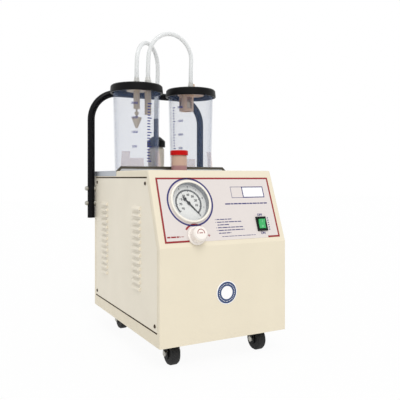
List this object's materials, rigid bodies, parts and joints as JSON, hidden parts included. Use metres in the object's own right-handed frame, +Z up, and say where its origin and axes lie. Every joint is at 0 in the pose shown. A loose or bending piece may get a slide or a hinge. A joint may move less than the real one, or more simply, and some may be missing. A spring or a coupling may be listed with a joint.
{
  "type": "vacuum aspirator",
  "caption": "Cabinet suction unit on swivel castors with a sloping gauge panel, clear collection jars linked by hoses, a filter trap and a tubular push handle.",
  "frame": {"origin": "on the floor under the middle of the overall box, free hoses left out", "axes": "+X to the operator's right, -Y out of the front, +Z up"},
  "size_m": [0.363, 0.4689, 0.7721],
  "materials": {
    "cream_paint": "satin powder coat",
    "zinc_steel": "zinc plated",
    "stainless": "brushed",
    "label": "printed overlay",
    "black_paint": "satin black",
    "black_plastic": "moulded",
    "clear_jar": "clear polycarbonate",
    "beige_plastic": "moulded",
    "clear_hose": "clear soft tube",
    "red_plastic": "moulded",
    "pot_plastic": "translucent",
    "bezel_plastic": "moulded",
    "dial_face": "printed",
    "gauge_glass": "clear",
    "pointer_black": "matt",
    "knob_plastic": "moulded",
    "green_rocker": "translucent",
    "brass": "machined",
    "castor_black": "satin",
    "wheel_rubber": "moulded",
    "cast_alloy": "as cast",
    "rubber": "moulded",
    "inner_hose": "reinforced"
  },
  "bodies": {
    "cabinet": {"base_plate": "cream_paint", "cabinet_shell": "cream_paint", "castor_plates": "zinc_steel", "control_panel": "label", "cover_screws": "zinc_steel", "exhaust_silencer": "brass", "gauge_bezel": "bezel_plastic", "gauge_case": "black_paint", "gauge_dial": "dial_face", "gauge_lens": "gauge_glass", "handle_fixings": "black_plastic", "handle_tube": "black_paint", "inner_hoses": "inner_hose", "jar_stops": "cream_paint", "jar_tray": "stainless", "motor_housing": "cast_alloy", "power_inlet": "black_plastic", "pump_crankcase": "cast_alloy", "pump_frame": "zinc_steel", "pump_head": "cast_alloy", "pump_mounts": "rubber", "rear_panel": "cream_paint", "regulator_valve": "brass", "side_cover_left": "cream_paint", "side_cover_right": "cream_paint", "switch_frame": "black_plastic", "trap_bottle": "beige_plastic", "trap_cap": "black_plastic"},
    "jar_left": {"jar_left": "clear_jar"},
    "jar_right": {"jar_right": "clear_jar"},
    "lid_left": {"lid_left": "black_plastic", "lid_seal_left": "rubber", "lid_fittings_left": "beige_plastic", "tube_link": "clear_hose", "tube_trap": "clear_hose"},
    "lid_right": {"lid_right": "black_plastic", "lid_seal_right": "rubber", "lid_fittings_right": "beige_plastic"},
    "float_left": {"float_left": "beige_plastic"},
    "float_right": {"float_right": "beige_plastic"},
    "pot": {"pot_body": "pot_plastic"},
    "pot_cap": {"pot_cap": "red_plastic"},
    "gauge_pointer": {"gauge_pointer": "pointer_black"},
    "regulator_knob": {"regulator_knob": "knob_plastic"},
    "switch_rocker": {"switch_rocker": "green_rocker"},
    "pump_rotor": {"motor_rotor": "zinc_steel", "cooling_fan": "black_plastic"},
    "fuse_drawer": {"fuse_drawer": "black_plastic"},
    "castor_fork_front_left": {"castor_fork_front_left": "castor_black", "castor_axle_front_left": "zinc_steel"},
    "castor_wheel_front_left": {"castor_wheel_front_left": "wheel_rubber"},
    "castor_fork_front_right": {"castor_fork_front_right": "castor_black", "castor_axle_front_right": "zinc_steel"},
    "castor_wheel_front_right": {"castor_wheel_front_right": "wheel_rubber"},
    "castor_fork_rear_left": {"castor_fork_rear_left": "castor_black", "castor_axle_rear_left": "zinc_steel"},
    "castor_wheel_rear_left": {"castor_wheel_rear_left": "wheel_rubber"},
    "castor_fork_rear_right": {"castor_fork_rear_right": "castor_black", "castor_axle_rear_right": "zinc_steel"},
    "castor_wheel_rear_right": {"castor_wheel_rear_right": "wheel_rubber"}
  },
  "joints": [
    {"name": "jar_left_lift", "type": "slide", "parent": "cabinet", "child": "jar_left", "axis": [0, 0, 1], "range_m": [0, 0.07]},
    {"name": "jar_right_lift", "type": "slide", "parent": "cabinet", "child": "jar_right", "axis": [0, 0, 1], "range_m": [0, 0.07]},
    {"name": "lid_left_lift", "type": "slide", "parent": "jar_left", "child": "lid_left", "axis": [0, 0, 1], "range_m": [0, 0.11]},
    {"name": "lid_right_lift", "type": "slide", "parent": "jar_right", "child": "lid_right", "axis": [0, 0, 1], "range_m": [0, 0.11]},
    {"name": "float_left_rise", "type": "slide", "parent": "lid_left", "child": "float_left", "axis": [0, 0, 1], "range_m": [0, 0.005]},
    {"name": "float_right_rise", "type": "slide", "parent": "lid_right", "child": "float_right", "axis": [0, 0, 1], "range_m": [0, 0.012]},
    {"name": "pot_lift", "type": "slide", "parent": "cabinet", "child": "pot", "axis": [0, 0, 1], "range_m": [0, 0.06]},
    {"name": "pot_cap_lift", "type": "slide", "parent": "pot", "child": "pot_cap", "axis": [0, 0, 1], "range_m": [0, 0.025]},
    {"name": "gauge_pointer_turn", "type": "hinge", "parent": "cabinet", "child": "gauge_pointer", "pos_m": [-0.0681, -0.17908, 0.33642], "axis": [0, -0.9333, 0.359], "range_deg": [0, 270]},
    {"name": "regulator_knob_turn", "type": "hinge", "parent": "cabinet", "child": "regulator_knob", "pos_m": [-0.0685, -0.20557, 0.26753], "axis": [0, -0.9333, 0.359], "range_deg": [0, 270]},
    {"name": "switch_rocker_tilt", "type": "hinge", "parent": "cabinet", "child": "switch_rocker", "pos_m": [0.0975, -0.20118, 0.2862], "axis": [-1, 0, 0], "range_deg": [0, 20]},
    {"name": "pump_rotor_spin", "type": "hinge", "parent": "cabinet", "child": "pump_rotor", "pos_m": [0, -0.02347, 0.158], "axis": [0, 1, 0], "continuous": true},
    {"name": "fuse_drawer_slide", "type": "slide", "parent": "cabinet", "child": "fuse_drawer", "axis": [0, 1, 0], "range_m": [0, 0.015]},
    {"name": "castor_front_left_swivel", "type": "hinge", "parent": "cabinet", "child": "castor_fork_front_left", "pos_m": [-0.1055, -0.15547, 0.06], "axis": [0, 0, 1], "continuous": true},
    {"name": "castor_front_left_roll", "type": "hinge", "parent": "castor_fork_front_left", "child": "castor_wheel_front_left", "pos_m": [-0.1055, -0.16747, 0.025], "axis": [1, 0, 0], "continuous": true},
    {"name": "castor_front_right_swivel", "type": "hinge", "parent": "cabinet", "child": "castor_fork_front_right", "pos_m": [0.1055, -0.15547, 0.06], "axis": [0, 0, 1], "continuous": true},
    {"name": "castor_front_right_roll", "type": "hinge", "parent": "castor_fork_front_right", "child": "castor_wheel_front_right", "pos_m": [0.1055, -0.16747, 0.025], "axis": [1, 0, 0], "continuous": true},
    {"name": "castor_rear_left_swivel", "type": "hinge", "parent": "cabinet", "child": "castor_fork_rear_left", "pos_m": [-0.1055, 0.14653, 0.06], "axis": [0, 0, 1], "continuous": true},
    {"name": "castor_rear_left_roll", "type": "hinge", "parent": "castor_fork_rear_left", "child": "castor_wheel_rear_left", "pos_m": [-0.1055, 0.13453, 0.025], "axis": [1, 0, 0], "continuous": true},
    {"name": "castor_rear_right_swivel", "type": "hinge", "parent": "cabinet", "child": "castor_fork_rear_right", "pos_m": [0.1055, 0.14653, 0.06], "axis": [0, 0, 1], "continuous": true},
    {"name": "castor_rear_right_roll", "type": "hinge", "parent": "castor_fork_rear_right", "child": "castor_wheel_rear_right", "pos_m": [0.1055, 0.13453, 0.025], "axis": [1, 0, 0], "continuous": true}
  ],
  "couplings": [
    {"joint": "jar_right_lift", "follows": "jar_left_lift", "ratio": 1},
    {"joint": "lid_right_lift", "follows": "lid_left_lift", "ratio": 1}
  ]
}
